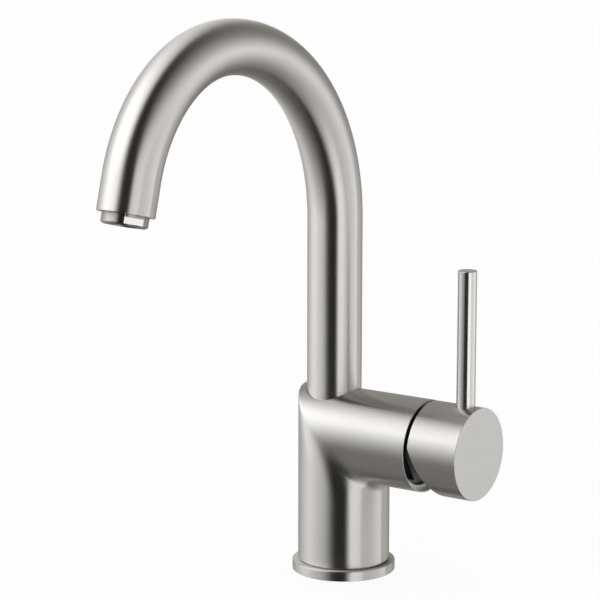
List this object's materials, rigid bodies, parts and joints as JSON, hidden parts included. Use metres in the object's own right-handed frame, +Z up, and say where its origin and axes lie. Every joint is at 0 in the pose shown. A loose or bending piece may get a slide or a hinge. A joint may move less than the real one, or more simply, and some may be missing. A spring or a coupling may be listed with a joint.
{
  "type": "gooseneck bar faucet",
  "caption": "Single-hole bar faucet: mitred column and side barrel, swivelling gooseneck tube spout with aerator, and a drum handle with an upright pin lever.",
  "frame": {"origin": "on the deck surface, at the centre of the foot and of the deck hole", "axes": "+Z up from the deck, +X along the barrel towards the handle's face, -Y the way the spout reaches at rest"},
  "size_m": [0.1071, 0.2092, 0.2899],
  "materials": {
    "brushed_nickel": "satin brushed nickel over brass, fine circumferential brushing",
    "polished_steel": "polished, nearly mirror-bright stainless steel",
    "raw_brass": "machined brass, hidden inside",
    "black_rubber": "matte EPDM rubber",
    "white_acetal": "off-white acetal, low friction",
    "grey_nylon": "mid grey glass-filled nylon",
    "ceramic": "lapped white alumina ceramic"
  },
  "bodies": {
    "body": {"body_shell": "brushed_nickel", "base_flange": "brushed_nickel", "base_gasket": "black_rubber", "spout_retaining_screw": "polished_steel", "cartridge_base": "grey_nylon", "port_seal_hot": "black_rubber", "port_seal_cold": "black_rubber", "port_seal_outlet": "black_rubber", "disc_seal": "black_rubber", "fixed_ceramic_disc": "ceramic", "cartridge_housing": "grey_nylon", "cartridge_nut": "polished_steel"},
    "spout": {"spout_tube": "brushed_nickel", "spout_nipple": "raw_brass", "lower_spout_bushing": "white_acetal", "upper_spout_bushing": "white_acetal", "lower_spout_o_ring": "black_rubber", "upper_spout_o_ring": "black_rubber", "outlet_ferrule": "raw_brass", "aerator_housing": "polished_steel", "aerator_insert": "grey_nylon", "aerator_screen": "polished_steel", "aerator_washer": "black_rubber"},
    "mixer": {"cartridge_rotor": "white_acetal", "stem_pivot_pin": "polished_steel"},
    "lever": {"cartridge_stem": "polished_steel", "handle_cap": "brushed_nickel", "lever_pin": "polished_steel", "handle_set_screw": "polished_steel"},
    "disc_slider": {"moving_ceramic_disc": "ceramic", "disc_carrier": "white_acetal"}
  },
  "joints": [
    {"name": "spout_swivel", "type": "hinge", "parent": "body", "child": "spout", "pos_m": [-0.00625, 0, 0.088], "axis": [0, 0, 1], "continuous": true},
    {"name": "temperature_turn", "type": "hinge", "parent": "body", "child": "mixer", "pos_m": [0.044, 0, 0.0718], "axis": [1, 0, 0], "range_deg": [-45, 45]},
    {"name": "lever_tilt", "type": "hinge", "parent": "mixer", "child": "lever", "pos_m": [0.044, 0, 0.0718], "axis": [0, 1, 0], "range_deg": [0, 25]},
    {"name": "disc_slide", "type": "slide", "parent": "mixer", "child": "disc_slider", "axis": [0, 0, 1], "range_m": [0, 0.00385]}
  ],
  "couplings": [
    {"joint": "disc_slide", "follows": "lever_tilt", "m_per_rad": 0.0088}
  ]
}
